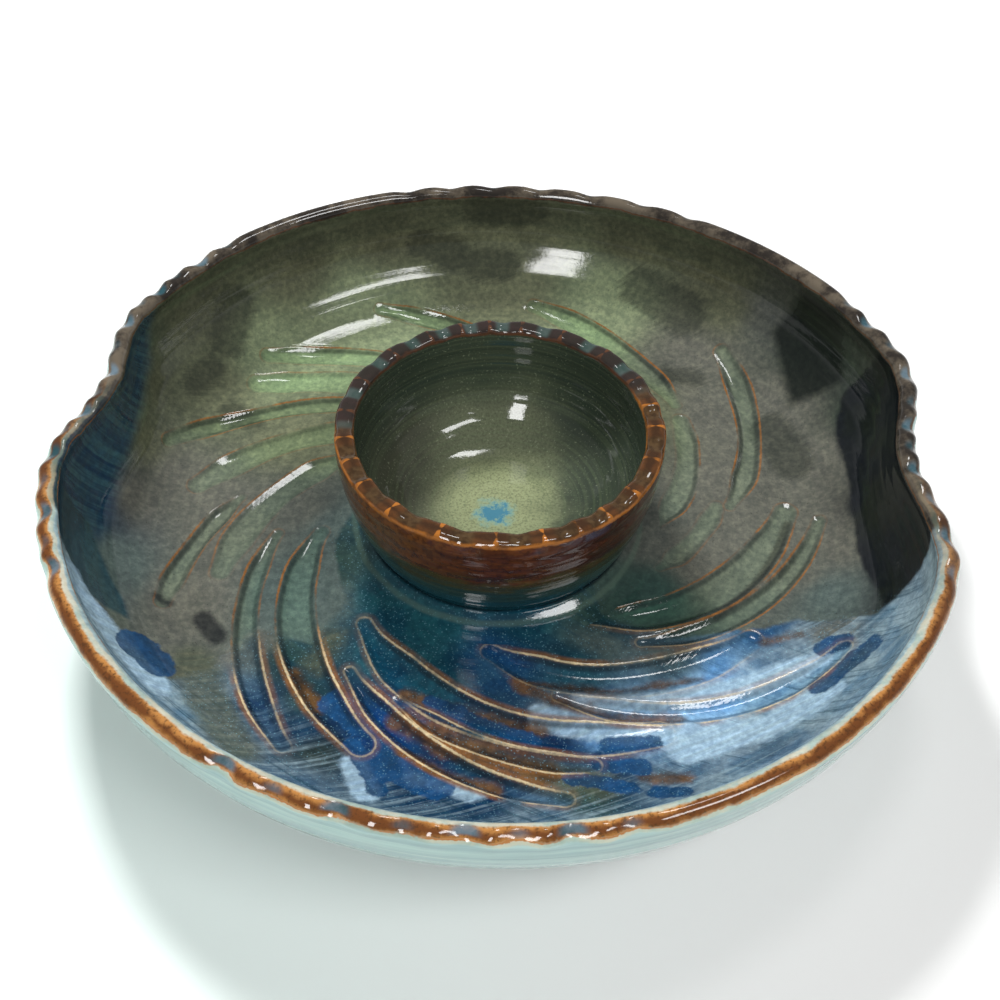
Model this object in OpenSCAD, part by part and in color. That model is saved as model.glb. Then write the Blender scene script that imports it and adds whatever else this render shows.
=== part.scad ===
// Chip and dip server: a thrown stoneware bowl with a smaller dip bowl luted to its floor.
// Units are millimetres. The origin is the centre of the foot ring's resting face, +Z is up,
// +X is right and +Y is the back, so the pushed-in handholds sit near +X and -X.
// Angles are in degrees, counter-clockwise seen from above, starting at +X.

/* [Chip bowl] */
// outer radius of the rim
rim_r = 158.5; // [150:0.5:190]
// height of the top of the rim above the table
rim_z = 59; // [56:0.5:66]
// width of the rounded rim bead
rim_w = 7.5; // [7:0.5:9]
// thickness of the floor and wall
wall = 6; // [5.5:0.5:7]
// radius of the outside curve from floor to wall
curve_r = 48; // [46:1:49]

/* [Handholds] */
// direction of the right handhold
right_at = 357; // [350:1:360]
// how far the right handhold is pushed in
right_depth = 13.5; // [6:0.5:15]
// half the angle the right handhold spans
right_half = 21; // [16:1:24]
// direction of the left handhold
left_at = 173; // [168:1:182]
// how far the left handhold is pushed in
left_depth = 10; // [6:0.5:15]
// half the angle the left handhold spans
left_half = 18; // [16:1:24]

/* [Dip bowl] */
// outer radius of the dip bowl's rim
dip_r = 58; // [54:0.5:60]
// height of the top of the dip bowl's rim above the table
dip_z = 61; // [56:0.5:66]
// width of the dip bowl's rim
dip_rim_w = 7; // [6:0.5:8]
// radius of the dip bowl's base, where it stands on the floor
dip_base_r = 47; // [44:0.5:50]
// thickness of the dip bowl's own floor
dip_floor = 5; // [4:0.5:7]
// radius of the curve from its floor to its side, inside
dip_curve_r = 30; // [20:1:32]
// number of pressed marks around the dip bowl's rim
dip_presses = 24; // [16:1:28]

/* [Join collar] */
// outer radius of the smoothed clay collar on the floor
collar_r = 61; // [58:0.5:64]
// height of the collar at the radius of the dip bowl's base
collar_h = 5.5; // [4:0.5:7]

/* [Foot ring] */
// outer radius of the foot ring at the table
foot_r = 100; // [90:1:104]
// width of the foot ring at the table
foot_w = 9; // [7:0.5:12]
// height of the foot ring
foot_h = 7; // [5:0.5:9]

/* [Carved marks] */
// depth of the swipes carved in the floor
swipe_depth = 2; // [1:0.25:2.5]
// radius of the round tool that presses both rims
press_tool = 8; // [6:0.5:10]
// depth of the presses in both rims
press_depth = 1.5; // [0.5:0.25:2]

/* [Hidden] */
floor_z = foot_h + wall;
// the wall's curve turns about this radius and height, inside and outside alike
turn_r = rim_r - 0.5 - curve_r;
turn_z = foot_h + curve_r;
// how far each side of the foot ring leans out from the table to the underside
foot_flare = 1.5;
bead_r = rim_w / 2;
dip_floor_z = floor_z + dip_floor;
// the dip bowl's rim is rounded outside, and its side curves about a centre level with that
dip_lip = dip_rim_w / 2;
dip_turn_z = dip_z - dip_lip;
// the handholds: direction, depth and half angle
handholds = [[right_at, right_depth, right_half], [left_at, left_depth, left_half]];
// how far the handhold skin stands proud of the rim where it begins
proud = 0.6;
// thickness of the wall at a handhold
pushed_wall = wall + 0.5;
// clearance for every cut that runs past a face
past = 12;
clay = "Tan";
glaze_blue = "SteelBlue";
glaze_green = "DarkSeaGreen";
glaze_rust = "Sienna";
$fa = 3;
$fs = 1.5;

// groups of presses on the big rim: first angle, last angle, how many, share of the full depth
press_groups = [
    [138, 206, 16, 1], // left side, round the handhold
    [244, 286, 8, 1], // front
    [337, 388, 11, 1], // right side, round the handhold
    [62, 106, 6, 0.5], // back, gentle
];

// swipes carved in the floor, each a spiral stroke of a loop tool running outward:
// start radius, start angle, end radius, end angle, radius of the tool
swipes = [
    [97, 175, 121, 201, 6],
    [82, 190, 120, 236, 5.5],
    [67, 187, 108, 246, 8],
    [90, 238, 120, 280, 6],
    [73, 230, 108, 298, 7],
    [84, 286, 121, 330, 6],
    [64, 272, 104, 329, 8],
    [66, 309, 108, 363, 8],
    [80, 311, 120, 358, 5.5],
    [67, 352, 90, 394, 7],
    [90, 366, 121, 402, 7],
    [94, 402, 121, 436, 7.5],
    [98, 84, 121, 106, 7],
    [80, 94, 121, 130, 6],
    [78, 114, 117, 144, 7],
    [76, 124, 121, 163, 6],
    [70, 138, 114, 176, 8],
];

function polar(r, a) = [r * cos(a), r * sin(a)];
function between(a, b, t) = a + (b - a) * t;

// the signed turn from angle b to angle a, between -180 and 180
function turn(a, b) = let (d = a - b) d - 360 * round(d / 360);

// share of a handhold's depth at an angle: 1 in its middle, 0 at its ends
function share(a, hold) = pow(cos(90 * min(1, abs(turn(a, hold[0])) / hold[2])), 2);

// radius of the outer edge of the rim at an angle, handholds included
function edge_r(a) = rim_r - max([for (h = handholds) h[1] * share(a, h)]);

// centre of the circle through three points of the plane
function circle_centre(p, q, s) =
    let (
        u = q - p, v = s - p,
        d = 2 * (u.x * v.y - u.y * v.x),
        uu = u * u, vv = v * v
    )
    p + [(v.y * uu - u.y * vv) / d, (u.x * vv - v.x * uu) / d];

// cross-section of a round-cornered bowl: a flat middle and a quarter curve of radius r, full to z
module bowl_section(r, z) {
    low = turn_z - r;
    translate([0, low]) square([turn_r, z - low]);
    intersection() {
        translate([turn_r, turn_z]) circle(r);
        translate([turn_r - 1, low - 1]) square([r + 2, r + 1]);
    }
    translate([turn_r - 1, turn_z]) square([r + 1, z - turn_z]);
}

module rim_bead() translate([rim_r - bead_r, rim_z - bead_r]) circle(bead_r);

// everything outside a handhold: its skin follows the pushed-in edge, set in by inset
module handhold_space(hold, inset) {
    steps = 24;
    far = rim_r + 3 * past;
    function at(i) = hold[0] + hold[2] * (2 * i / steps - 1);
    function skin(i) =
        rim_r + proud - inset - (hold[1] + proud) * share(at(i), hold);
    translate([0, 0, -past]) linear_extrude(rim_z + 2 * past) polygon([
        for (i = [0:steps]) polar(skin(i), at(i)),
        for (i = [steps:-1:0]) polar(far, at(i)),
    ]);
}

// the bowl filled solid, with the handholds pushed in
module bowl_body() {
    difference() {
        rotate_extrude() {
            bowl_section(curve_r, rim_z - bead_r);
            translate([0, turn_z]) square([rim_r - bead_r, rim_z - turn_z]);
            rim_bead();
        }
        for (h = handholds) handhold_space(h, 0);
    }
}

// the space inside the bowl, with the handholds bulging into it
module bowl_hollow() {
    difference() {
        rotate_extrude() difference() {
            bowl_section(curve_r - wall, rim_z + past);
            rim_bead();
        }
        for (h = handholds) handhold_space(h, pushed_wall);
    }
}

// one stroke of the loop tool: an arc of round section with a round bite at each end
module swipe(stroke) {
    tool = stroke[4];
    z = floor_z - swipe_depth + tool;
    function on(t) =
        polar(between(stroke[0], stroke[2], t), between(stroke[1], stroke[3], t));
    c = circle_centre(on(0), on(0.5), on(1));
    from = on(0) - c;
    to = on(1) - c;
    start = atan2(from.y, from.x);
    sweep = turn(atan2(to.y, to.x), start);
    translate([c.x, c.y, z]) {
        rotate([0, 0, start])
            rotate_extrude(angle = sweep) translate([norm(from), 0]) circle(tool);
        for (end = [from, to]) translate([end.x, end.y, 0]) sphere(tool + 0.3);
    }
}

// the marks of a round tool pressed into the outer edge of the big rim
module rim_presses() {
    for (g = press_groups, i = [0:g[2] - 1]) {
        a = between(g[0], g[1], i / (g[2] - 1));
        depth = press_depth * g[3];
        rotate([0, 0, a])
            translate([edge_r(a) + 1, 0, rim_z + press_tool - depth - 1]) sphere(press_tool);
    }
}

// the wide bowl: a revolved wall with two pushed-in handholds, a carved floor and a pressed rim
module chip_bowl() {
    color(glaze_green) difference() {
        bowl_body();
        bowl_hollow();
        for (s = swipes) swipe(s);
        rim_presses();
    }
}

// the dip bowl's solid cross-section: an arc from its base to its rim, and a rounded rim
module dip_section() {
    rise = dip_turn_z - floor_z;
    run = dip_r - dip_base_r;
    side = (rise * rise + run * run) / (2 * run);
    intersection() {
        translate([0, floor_z]) square([dip_r, rise]);
        translate([dip_r - side, dip_turn_z]) circle(side, $fn = 240);
    }
    translate([0, dip_turn_z]) square([dip_r - dip_lip, dip_lip]);
    translate([dip_r - dip_lip, dip_turn_z]) circle(dip_lip);
}

// the collar of clay smoothed round the foot of the dip bowl, hollow on its outer face
module join_collar() {
    reach = collar_r - dip_base_r;
    cove = (reach * reach + collar_h * collar_h) / (2 * collar_h);
    color(glaze_blue) rotate_extrude() difference() {
        translate([dip_base_r, floor_z]) square([reach, collar_h]);
        translate([collar_r, floor_z + cove]) circle(cove, $fn = 240);
        dip_section();
    }
}

// the dip bowl: an upright bowl with a curved side and a flat pressed rim
module dip_bowl() {
    inner = dip_r - dip_rim_w;
    color(glaze_rust) difference() {
        rotate_extrude() difference() {
            dip_section();
            translate([0, dip_floor_z]) square([inner - dip_curve_r, dip_z]);
            intersection() {
                translate([inner - dip_curve_r, dip_floor_z + dip_curve_r]) circle(dip_curve_r);
                translate([0, dip_floor_z]) square([inner, dip_curve_r]);
            }
            translate([0, dip_floor_z + dip_curve_r]) square([inner, dip_z]);
        }
        for (i = [0:dip_presses - 1]) rotate([0, 90, 360 * i / dip_presses])
            translate([press_depth - dip_z - press_tool, 0, inner - past])
                cylinder(r = press_tool, h = 3 * past);
    }
}

// the foot ring under the bowl, narrowing toward the table
// the foot's own section and, past the flat of the underside, a wedge of clay up to the curve
module foot_section() {
    outer = foot_r + foot_flare;
    polygon([
        [foot_r - foot_w, 0], [foot_r, 0], [outer, foot_h], [foot_r - foot_w - foot_flare, foot_h],
    ]);
    if (outer > turn_r) difference() {
        translate([turn_r, foot_h]) square([outer - turn_r, turn_z - foot_h]);
        bowl_section(curve_r, rim_z);
    }
}

module foot_ring() color(clay) rotate_extrude() foot_section();

chip_bowl();
join_collar();
dip_bowl();
foot_ring();
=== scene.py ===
"""Chip and dip server in glazed stoneware: the visible pieces, their glazes, and the table they stand on.

Sizes inside the classes are millimetres and degrees; meshes are made in metres.
"""

from __future__ import annotations

import logging
import math
from dataclasses import dataclass
from enum import Enum

import bpy
import numpy as np
from mathutils import Matrix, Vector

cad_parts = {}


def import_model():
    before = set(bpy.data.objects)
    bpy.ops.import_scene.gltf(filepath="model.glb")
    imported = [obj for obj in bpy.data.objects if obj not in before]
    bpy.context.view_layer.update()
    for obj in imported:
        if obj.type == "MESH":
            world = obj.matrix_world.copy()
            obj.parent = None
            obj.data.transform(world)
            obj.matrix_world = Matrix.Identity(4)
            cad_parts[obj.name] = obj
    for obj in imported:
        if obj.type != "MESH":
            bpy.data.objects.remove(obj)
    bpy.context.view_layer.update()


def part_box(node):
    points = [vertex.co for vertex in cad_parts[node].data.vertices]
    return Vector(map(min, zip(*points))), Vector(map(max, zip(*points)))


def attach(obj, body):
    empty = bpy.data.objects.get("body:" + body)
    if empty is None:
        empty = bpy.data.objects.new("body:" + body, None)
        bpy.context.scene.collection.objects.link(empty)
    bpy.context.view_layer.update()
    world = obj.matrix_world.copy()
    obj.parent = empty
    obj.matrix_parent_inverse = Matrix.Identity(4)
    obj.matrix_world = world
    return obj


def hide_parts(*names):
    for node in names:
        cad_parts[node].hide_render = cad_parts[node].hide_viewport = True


log = logging.getLogger("server")
MM = 0.001
Array = np.ndarray
Colour = tuple[float, float, float]
Socket = bpy.types.NodeSocket


# ---------------------------------------------------------------- glaze tones


class Tone(Enum):
    """The glaze colours, as linear red, green and blue; NIGHT, FOREST and NAVY also serve as painted shade.
    """

    OLIVE = (0.09, 0.095, 0.058)
    MOSS = (0.125, 0.135, 0.082)
    LEAF = (0.2, 0.24, 0.14)
    SMOKE = (0.105, 0.105, 0.086)
    ASH = (0.07, 0.075, 0.064)
    FOREST = (0.02, 0.032, 0.024)
    NIGHT = (0.005, 0.007, 0.01)
    PINE = (0.022, 0.05, 0.042)
    TEAL = (0.01, 0.062, 0.078)
    COBALT = (0.02, 0.075, 0.15)
    ROYAL = (0.008, 0.06, 0.17)
    NAVY = (0.005, 0.032, 0.075)
    SKY = (0.34, 0.5, 0.66)
    HAZE = (0.22, 0.31, 0.36)
    SLATE = (0.12, 0.175, 0.22)
    BARK = (0.045, 0.024, 0.01)
    RUST = (0.22, 0.085, 0.018)
    CREAM = (0.62, 0.5, 0.3)
    MINT = (0.4, 0.55, 0.52)
    FOG = (0.066, 0.09, 0.084)
    CLAY = (0.42, 0.27, 0.16)


# ---------------------------------------------------------------- geometry helpers


def polar(radius: Array | float, angle: Array | float) -> Array:
    """Points of the plane at a radius and an angle in degrees."""
    turn = np.radians(angle)
    return np.stack([radius * np.cos(turn), radius * np.sin(turn)], -1)


def turned(angle: Array, centre: float) -> Array:
    """The signed turn in degrees from centre to each angle, between -180 and 180."""
    away = angle - centre
    return away - 360 * np.round(away / 360)


def smooth(value: Array, low: float, high: float) -> Array:
    """A smooth step from 0 at low to 1 at high."""
    t = np.clip((value - low) / (high - low), 0, 1)
    return t * t * (3 - 2 * t)


def reach(points: Array, path: Array) -> tuple[Array, Array]:
    """How far each point is from an open path, and how far along the path its nearest place is.

    Args:
        points: Points of the plane, one a row.
        path: The path's corners, one a row.

    Returns:
        The distances, and the places along the path from 0 to 1.
    """
    near = np.full(len(points), 1e9)
    place = np.zeros(len(points))
    for i in range(len(path) - 1):
        a, b = path[i], path[i + 1]
        span = b - a
        t = np.clip(((points - a) @ span) / max(span @ span, 1e-9), 0, 1)
        away = np.hypot(*(points - a - t[:, None] * span).T)
        closer = away < near
        near = np.where(closer, away, near)
        place = np.where(closer, (i + t) / (len(path) - 1), place)
    return near, place


def within(points: Array, corners: list[tuple[float, float]]) -> Array:
    """Signed distance from each point to a closed outline, negative inside it."""
    ring = np.array([*corners, corners[0]], float)
    away, _ = reach(points, ring)
    inside = np.zeros(len(points), bool)
    for (ax, ay), (bx, by) in zip(ring[:-1], ring[1:], strict=True):
        crosses = (ay > points[:, 1]) != (by > points[:, 1])
        rise = by - ay if by != ay else 1e-9
        inside ^= crosses & (points[:, 0] < (bx - ax) * (points[:, 1] - ay) / rise + ax)
    return np.where(inside, -away, away)


# ---------------------------------------------------------------- modelling by operators


def begin(name: str, start: tuple[float, float]) -> bpy.types.Object:
    """Start a new piece as one vertex of its cross-section, in edit mode.

    Args:
        name: The piece's name.
        start: The first point of its cross-section: radius and height, in millimetres.

    Returns:
        The new object.
    """
    bpy.ops.object.select_all(action="DESELECT")
    bpy.ops.mesh.primitive_plane_add(size=0.0001)
    piece = bpy.context.object
    piece.name = piece.data.name = name
    bpy.ops.object.mode_set(mode="EDIT")
    bpy.ops.mesh.select_all(action="SELECT")
    bpy.ops.mesh.merge(type="CENTER")
    bpy.ops.transform.translate(value=(start[0] * MM, 0, start[1] * MM))
    return piece


def throw(name: str, outline: list[tuple[float, float]], steps: int) -> bpy.types.Object:
    """Throw a piece on the wheel: draw its cross-section point by point and spin it.

    Args:
        name: The piece's name.
        outline: The cross-section as radius and height in millimetres.
        steps: How many steps the spin takes for a full turn.

    Returns:
        The finished object, in object mode, with closed poles and outward normals.
    """
    piece = begin(name, outline[0])
    for (r0, z0), (r1, z1) in zip(outline[:-1], outline[1:], strict=True):
        step = ((r1 - r0) * MM, 0, (z1 - z0) * MM)
        bpy.ops.mesh.extrude_region_move(TRANSFORM_OT_translate={"value": step})
    bpy.ops.mesh.select_all(action="SELECT")
    bpy.ops.mesh.spin(steps=steps, angle=math.tau, center=(0, 0, 0), axis=(0, 0, 1))
    bpy.ops.mesh.select_all(action="SELECT")
    bpy.ops.mesh.remove_doubles(threshold=0.00002)
    bpy.ops.mesh.normals_make_consistent(inside=False)
    bpy.ops.object.mode_set(mode="OBJECT")
    bpy.ops.object.shade_smooth()
    return piece


def points_of(piece: bpy.types.Object) -> Array:
    """A piece's vertices in millimetres, one a row."""
    flat = np.empty(len(piece.data.vertices) * 3)
    piece.data.vertices.foreach_get("co", flat)
    return flat.reshape(-1, 3) / MM


def shape_to(piece: bpy.types.Object, points: Array) -> None:
    """Press and pull a piece's clay: move its vertices to new places, in millimetres."""
    piece.data.vertices.foreach_set("co", (points * MM).ravel())
    piece.data.update()


def keep(piece: bpy.types.Object, name: str, values: Array) -> None:
    """Store a value, or a colour, for each vertex of a piece under a name."""
    if values.ndim == 1:
        layer = piece.data.attributes.new(name, "FLOAT", "POINT")
        layer.data.foreach_set("value", values.astype(np.float32))
    elif values.shape[1] == 3:
        layer = piece.data.attributes.new(name, "FLOAT_VECTOR", "POINT")
        layer.data.foreach_set("vector", values.astype(np.float32).ravel())


def along_outline(points: Array, outline: list[tuple[float, float]]) -> Array:
    """How far along its cross-section each thrown vertex lies, in millimetres."""
    section = np.array(outline)
    travelled = np.concatenate([[0], np.cumsum(np.hypot(*np.diff(section, axis=0).T))])
    own = np.stack([np.hypot(points[:, 0], points[:, 1]), points[:, 2]], -1)
    found = np.zeros(len(points), int)
    best = np.full(len(points), 1e9)
    for i, corner in enumerate(section):
        away = np.hypot(*(own - corner).T)
        found = np.where(away < best, i, found)
        best = np.minimum(best, away)
    return travelled[found]


# ---------------------------------------------------------------- node graphs


class Graph:
    """A material's node tree, with short calls for the nodes a glaze is mixed from."""

    def __init__(self, name: str) -> None:
        """Make the material and clear its nodes.

        Args:
            name: The material's name.
        """
        self.material = bpy.data.materials.new(name)
        self.material.use_nodes = True
        self.nodes = self.material.node_tree.nodes
        self.links = self.material.node_tree.links
        self.nodes.clear()
        self.place = self.nodes.new("ShaderNodeTexCoord").outputs["Object"]

    def put(self, socket: Socket, value: object) -> None:
        """Link a socket to another, or set its value."""
        if isinstance(value, Socket):
            self.links.new(value, socket)
        elif isinstance(value, Tone):
            socket.default_value = (*value.value, 1)
        else:
            socket.default_value = value

    def math(self, how: str, a: object, b: object = 0.0) -> Socket:
        """One Math node."""
        node = self.nodes.new("ShaderNodeMath")
        node.operation = how
        for i, value in enumerate((a, b)):
            self.put(node.inputs[i], value)
        return node.outputs[0]

    def plus(self, a: object, b: object) -> Socket:
        """One value added to another."""
        return self.math("ADD", a, b)

    def times(self, a: object, b: object) -> Socket:
        """One value multiplied by another."""
        return self.math("MULTIPLY", a, b)

    def off(self, a: object, b: object) -> Socket:
        """How far one value lies from another, whichever is larger."""
        return self.math("ABSOLUTE", self.math("SUBTRACT", a, b))

    def over(
        self, base: object, tone: object, value: object, low: float, high: float, top: float = 1.0
    ) -> Socket:
        """A tone laid over a base, from none at low to its most at high."""
        return self.mix(self.span(value, low, high, top), base, tone)

    def scaled(self, base: object, tint: tuple[float, float, float]) -> Socket:
        """A colour multiplied by a tint."""
        return self.mix(1.0, base, (*tint, 1), "MULTIPLY")

    def read(self, name: str) -> bpy.types.Node:
        """The Attribute node of one stored layer."""
        node = self.nodes.new("ShaderNodeAttribute")
        node.attribute_name = name
        return node

    def value(self, name: str) -> Socket:
        """A stored number."""
        return self.read(name).outputs["Fac"]

    def tint(self, name: str) -> Socket:
        """A stored colour."""
        return self.read(name).outputs["Color"]

    def span(self, value: object, low: float, high: float, top: float = 1.0) -> Socket:
        """A smooth step of a value: 0 at low, top at high, whichever is larger."""
        node = self.nodes.new("ShaderNodeMapRange")
        node.interpolation_type = "SMOOTHSTEP"
        for i, given in enumerate((value, low, high, 0.0, top)):
            self.put(node.inputs[i], given)
        return node.outputs[0]

    def mapped(self, vector: object, scale: tuple[float, float, float], turn: float = 0.0) -> Socket:
        """A vector stretched by a scale after a turn about the upright axis, in degrees."""
        node = self.nodes.new("ShaderNodeMapping")
        node.vector_type = "TEXTURE"
        self.put(node.inputs["Vector"], vector)
        node.inputs["Rotation"].default_value = (0, 0, math.radians(turn))
        node.inputs["Scale"].default_value = scale
        return node.outputs[0]

    def noise(self, vector: object, scale: float, detail: float = 3.0, rough: float = 0.55) -> Socket:
        """A cloudy noise from 0 to 1."""
        node = self.nodes.new("ShaderNodeTexNoise")
        self.put(node.inputs["Vector"], vector)
        node.inputs["Scale"].default_value = scale
        node.inputs["Detail"].default_value = detail
        node.inputs["Roughness"].default_value = rough
        return node.outputs["Fac"]

    def sway(self, noise: object, size: float) -> Socket:
        """A noise moved to lie around 0 and scaled to a size."""
        return self.times(self.math("SUBTRACT", noise, 0.5), size)

    def mix(self, amount: object, a: object, b: object, how: str = "MIX") -> Socket:
        """One colour over another by an amount."""
        node = self.nodes.new("ShaderNodeMix")
        node.data_type = "RGBA"
        node.blend_type = how
        self.put(node.inputs["Factor"], amount)
        self.put(node.inputs[6], a)
        self.put(node.inputs[7], b)
        return node.outputs[2]

    def glazed_rough(self, cloud: object) -> Socket:
        """The roughness of shiny glaze, which varies a little in soft clouds."""
        return self.mix(self.span(cloud, 0.3, 0.7), (0.04, 0.04, 0.04, 1), (0.09, 0.09, 0.09, 1))

    def bump(self, height: object, strength: float, distance: float) -> Socket:
        """A bump from a height from 0 to 1, with its full depth in metres."""
        node = self.nodes.new("ShaderNodeBump")
        node.inputs["Strength"].default_value = strength
        node.inputs["Distance"].default_value = distance
        self.put(node.inputs["Height"], height)
        return node.outputs[0]

    def finish(self, colour: object, rough: object, normal: object, gloss: float) -> bpy.types.Material:
        """Close the graph with the glaze's shader.

        Args:
            colour: The glaze colour.
            rough: Its roughness.
            normal: Its bumped normal.
            gloss: How strongly it reflects, 0.5 for glass.

        Returns:
            The finished material.
        """
        shader = self.nodes.new("ShaderNodeBsdfPrincipled")
        self.put(shader.inputs["Base Color"], colour)
        self.put(shader.inputs["Roughness"], rough)
        self.put(shader.inputs["Normal"], normal)
        shader.inputs["Specular IOR Level"].default_value = gloss
        out = self.nodes.new("ShaderNodeOutputMaterial")
        self.links.new(shader.outputs[0], out.inputs["Surface"])
        return self.material


@dataclass(frozen=True)
class PressedRim:
    """How a rim's glaze breaks over its two edges and pools in its pressed marks.

    The edges are places along the cross-section, in millimetres: where the dark body starts and ends,
    and where the warm band, which is narrower, starts.
    """

    start: float
    end: float
    warm_start: float
    line: float = 0.8
    pool: Tone = Tone.TEAL
    pool_light: Tone = Tone.SLATE
    warm_dark: Colour = (0.13, 0.045, 0.013)
    warm_light: Colour = (0.4, 0.18, 0.05)
    # the lighter end of cold, on the wide bowl, is dark glaze lightened by a painted reflection of the bright
    # room at the grazing back rim
    cold: Colour = (0.11, 0.09, 0.066)
    fringe: float = 0.5

    def band(self, g: Graph, travel: object, low: object, high: float) -> Socket:
        """1 between two places along the cross-section, 0 outside them."""
        above = g.span(travel, low - 0.5, low + 0.5)
        return g.times(above, g.span(travel, high + 0.5, high - 0.5))

    def over(self, g: Graph, under: object, travel: object, grain: object, ridge: object) -> Socket:
        """Lay the rim's glaze over what lies under it.

        Args:
            g: The graph to build in.
            under: The colour of the walls below the rim.
            travel: How far along the cross-section the surface lies, in millimetres.
            grain: A fine noise that breaks the borders.
            ridge: How much a spot stands between two presses.

        Returns:
            The colour with the rim on it.
        """
        sway = g.sway(g.noise(g.place, 110, 4), 3.4)
        shaken = g.plus(g.plus(travel, sway), g.sway(grain, 1.0))
        warm, pool = g.value("warm"), g.value("press")
        tones = g.noise(g.place, 75, 6, 0.7)
        middle = (self.warm_start + self.end) / 2
        across = g.off(shaken, middle)
        spread = g.plus(across, g.sway(tones, 6.0))
        hot = g.over((*self.warm_dark, 1), (*self.warm_light, 1), spread, 0.4, 2.6)
        hot = g.over(hot, (0.05, 0.024, 0.01, 1), grain, 0.52, 0.66, 0.6)
        # the rim's dark body; its lighter end is partly a painted reflection of the bright room
        cold = g.over((0.022, 0.018, 0.015, 1), (*self.cold, 1), tones, 0.4, 0.62)
        dark = g.mix(self.band(g, shaken, self.start, self.end), under, cold)
        edge_tone = g.over((0.3, 0.36, 0.26, 1), Tone.CREAM, tones, 0.4, 0.6)
        beside = g.times(self.band(g, shaken, self.warm_start - 2.0, self.end + 0.8), self.fringe)
        fringe = g.mix(beside, under, edge_tone)
        glowing = g.mix(self.band(g, shaken, self.warm_start, self.end - 0.6), fringe, hot)
        rim = g.mix(warm, dark, glowing)
        pooled = g.over(self.pool, self.pool_light, tones, 0.3, 0.7)
        top = self.band(g, travel, self.start + 1.5, self.end - 1.5)
        in_pool = g.times(g.span(pool, 0.3, 0.85, 0.85), top)
        rim = g.mix(in_pool, rim, pooled)
        inner = g.off(shaken, self.start + 0.5)
        outer = g.off(shaken, self.end - 0.5)
        near = g.math("SUBTRACT", g.math("MINIMUM", inner, outer), g.times(ridge, 3.2))
        lit = g.span(near, self.line, 0.1, 0.85)
        lit = g.times(lit, g.span(tones, 0.3, 0.55))
        return g.mix(lit, rim, g.mix(warm, (0.1, 0.04, 0.018, 1), (0.4, 0.14, 0.022, 1)))


# ---------------------------------------------------------------- the wide bowl


@dataclass(frozen=True)
class Hold:
    """A handhold pushed into the wall: its direction, depth and half angle."""

    at: float
    depth: float
    half: float

    def push(self, angle: Array) -> Array:
        """How far the wall is pushed in at each angle."""
        share = np.minimum(1, np.abs(turned(angle, self.at)) / self.half)
        return self.depth * np.cos(np.radians(90 * share)) ** 2


@dataclass(frozen=True)
class Swipe:
    """A stroke of the loop tool across the floor, spiralling outward."""

    start: tuple[float, float]
    end: tuple[float, float]
    width: float = 9.0
    depth: float = 1.8
    inner_line: float = 0.6
    outer_line: float = 1.0

    def path(self) -> Array:
        """The stroke's centre line in the unrolled plane."""
        t = np.linspace(0, 1, 26)
        reach_out = self.start[0] + (self.end[0] - self.start[0]) * t
        return polar(reach_out, self.start[1] + (self.end[1] - self.start[1]) * t)


@dataclass(frozen=True)
class Daub:
    """A patch of brushed glaze: a stroke through some places, with a half width."""

    path: tuple[tuple[float, float], ...]
    half: float


SWIPES = (
    Swipe((98, 177), (126, 203), 8),
    Swipe((66, 155), (104, 198), 12, 1.2, 0.1, 0.7),
    Swipe((82, 189), (124, 238), 8.5),
    Swipe((66, 190), (110, 248), 13, 1.6, 1.0, 1.0),
    Swipe((88, 237), (123, 281), 8.5, 2.0, 1.0, 1.0),
    Swipe((70, 230), (109, 300), 13, 1.6, 1.0, 0.5),
    Swipe((90, 250), (112, 287), 7, 1.4, 0.7, 0.8),
    Swipe((84, 285), (135, 332), 8.5, 1.8, 0.6, 0.9),
    Swipe((64, 269), (105, 328), 13, 1.9, 1.0, 0.3),
    Swipe((59, 306), (110, 363), 14, 1.8, 0.9, 1.0),
    Swipe((77, 311), (122, 360), 8, 1.9, 0.8, 0.9),
    Swipe((60, 357), (92, 397), 10, 1.4, 0.1, 0.9),
    Swipe((64, 338), (84, 365), 8, 0.8, 0.1, 0.4),
    Swipe((89, 365), (133, 405), 9.5, 1.8, 1.0, 0.8),
    Swipe((97, 402), (126, 444), 11, 1.8, 0.2, 1.0),
    Swipe((98, 86), (130, 115), 9, 1.8, 0.7, 1.0),
    Swipe((88, 110), (130, 140), 10, 1.7, 0.3, 1.0),
    Swipe((80, 122), (122, 146), 13, 1.5, 0.1, 0.5),
    Swipe((74, 129), (135, 168), 8.5, 1.8, 0.6, 0.9),
    Swipe((68, 140), (116, 175), 12, 1.6, 0.2, 0.6),
)

# swipes that follow each other in SWIPES overlap, so every third is in one group
GROUPS = 3

Places = dict[Tone, tuple[tuple[float, float], ...]]

# where each tone of the glaze lies on the unrolled inner surface, away from the dipped front; the FOREST and
# NIGHT places by the right handhold and the NAVY ones by the left add painted shade there
BACK_TONES: Places = {
    Tone.OLIVE: ((0, 170), (-60, 155), (60, 155), (-100, 130), (-140, 90), (100, 120), (-150, 50),
        (-145, 20), (0, 60)),
    Tone.MOSS: ((0, 140), (0, 158), (-120, 60), (-80, 40), (60, 60)),
    Tone.LEAF: ((45, 130), (-60, 115), (-95, 82)),
    Tone.ASH: ((120, 100), (-75, 0), (55, -10)),
    Tone.FOREST: ((135, 85), (150, 80), (145, 40)),
    Tone.SMOKE: ((-125, 10), (-100, -10), (-110, -45), (-140, -5), (85, 60), (80, 90), (115, 60),
        (90, 20), (120, 20), (75, -20), (110, -25), (128, -12), (132, 30)),
    Tone.FOG: ((-70, -40), (-60, -10), (-135, -40), (118, -36)),
    Tone.PINE: ((-158, 15), (-165, -30), (-160, 50), (55, -35)),
    Tone.NAVY: ((-152, -15), (-165, 0)),
    Tone.NIGHT: ((145, 0), (160, -20), (150, -45), (165, 30)),
}
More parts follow.
